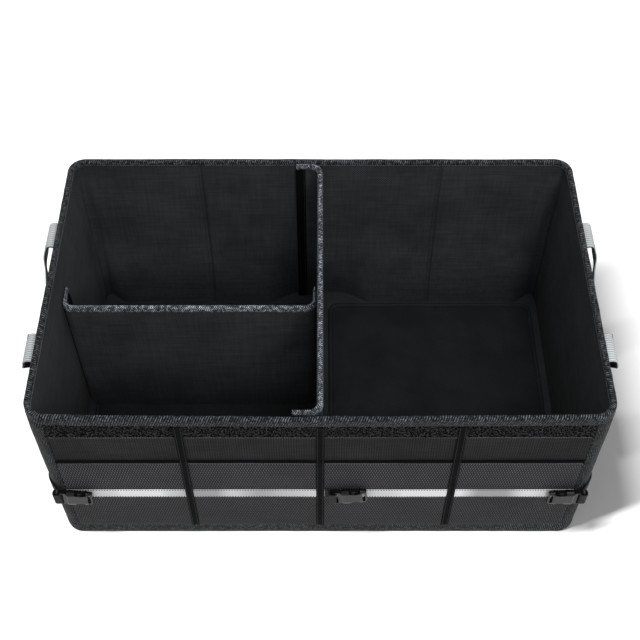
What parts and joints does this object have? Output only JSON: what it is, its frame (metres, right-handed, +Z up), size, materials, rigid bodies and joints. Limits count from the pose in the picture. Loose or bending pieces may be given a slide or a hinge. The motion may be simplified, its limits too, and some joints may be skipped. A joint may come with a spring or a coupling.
{
  "type": "car trunk organizer",
  "caption": "Collapsible fabric trunk box with hook-and-loop dividers, loose base boards, front mesh pockets, webbing handles and side-release buckles.",
  "frame": {"origin": "middle of the flat underside of the box", "axes": "+X along the long side to the right as seen from the pocket side, +Y from the pocket side to the back, +Z up"},
  "size_m": [0.688, 0.3892, 0.2629],
  "materials": {
    "cloth": "black woven polyester",
    "lining": "black lining cloth with a fine weave",
    "binding_tape": "dark woven binding tape",
    "hook_and_loop": "black hook-and-loop tape",
    "mesh": "dark grey knitted mesh",
    "reflective": "silver reflective ribbon",
    "grey_webbing": "light grey ribbed webbing",
    "black_webbing": "black ribbed webbing",
    "board": "stiffener board, not seen",
    "base_board": "cloth-covered board",
    "buckle_plastic": "glossy black moulding"
  },
  "bodies": {
    "organizer": {"back_left_corner_tape": "binding_tape", "back_right_corner_tape": "binding_tape", "back_stiffener_1": "board", "back_stiffener_2": "board", "back_stiffener_3": "board", "back_stiffener_4": "board", "base_binding": "binding_tape", "base_board_left": "base_board", "base_board_right": "base_board", "centre_buckle_loop": "black_webbing", "centre_buckle_plug": "buckle_plastic", "cross_divider_binding": "binding_tape", "cross_divider_board": "board", "cross_divider_cover": "lining", "cross_divider_edge_tape_a": "binding_tape", "cross_divider_edge_tape_b": "binding_tape", "cross_divider_hook_a": "hook_and_loop", "cross_divider_hook_b": "hook_and_loop", "cross_divider_wall_loop_a": "hook_and_loop", "cross_divider_wall_loop_b": "hook_and_loop", "front_left_corner_tape": "binding_tape", "front_loop_band": "hook_and_loop", "front_right_corner_tape": "binding_tape", "front_stiffener_1": "board", "front_stiffener_2": "board", "front_stiffener_3": "board", "front_stiffener_4": "board", "front_strip_centre": "binding_tape", "front_strip_left": "binding_tape", "front_strip_right": "binding_tape", "handle_left_backing": "black_webbing", "handle_left_webbing": "grey_webbing", "handle_right_backing": "black_webbing", "handle_right_webbing": "grey_webbing", "left_buckle_loop": "black_webbing", "left_buckle_plug": "buckle_plastic", "left_stiffener": "board", "lining": "lining", "long_divider_binding": "binding_tape", "long_divider_board": "board", "long_divider_cover": "lining", "long_divider_edge_tape_a": "binding_tape", "long_divider_edge_tape_b": "binding_tape", "long_divider_hook_a": "hook_and_loop", "long_divider_hook_b": "hook_and_loop", "long_divider_wall_loop_a": "hook_and_loop", "long_divider_wall_loop_b": "hook_and_loop", "outer_shell": "cloth", "pocket_hem": "binding_tape", "pocket_mesh": "mesh", "reflective_ribbon": "reflective", "right_buckle_loop": "black_webbing", "right_buckle_plug": "buckle_plastic", "right_stiffener": "board", "rim_binding": "binding_tape"},
    "centre_buckle_socket": {"centre_buckle_socket": "buckle_plastic"},
    "left_buckle_socket": {"left_buckle_socket": "buckle_plastic"},
    "right_buckle_socket": {"right_buckle_socket": "buckle_plastic"}
  },
  "joints": [
    {"name": "left_buckle_release", "type": "slide", "parent": "organizer", "child": "left_buckle_socket", "axis": [0.9962, 0, -0.0872], "range_m": [0, 0.024], "deforming": ["left_buckle_plug"]},
    {"name": "centre_buckle_release", "type": "slide", "parent": "organizer", "child": "centre_buckle_socket", "axis": [0.9962, 0, 0.0872], "range_m": [0, 0.024], "deforming": ["centre_buckle_plug"]},
    {"name": "right_buckle_release", "type": "slide", "parent": "organizer", "child": "right_buckle_socket", "axis": [-0.9994, 0, -0.0349], "range_m": [0, 0.024], "deforming": ["right_buckle_plug"]}
  ]
}
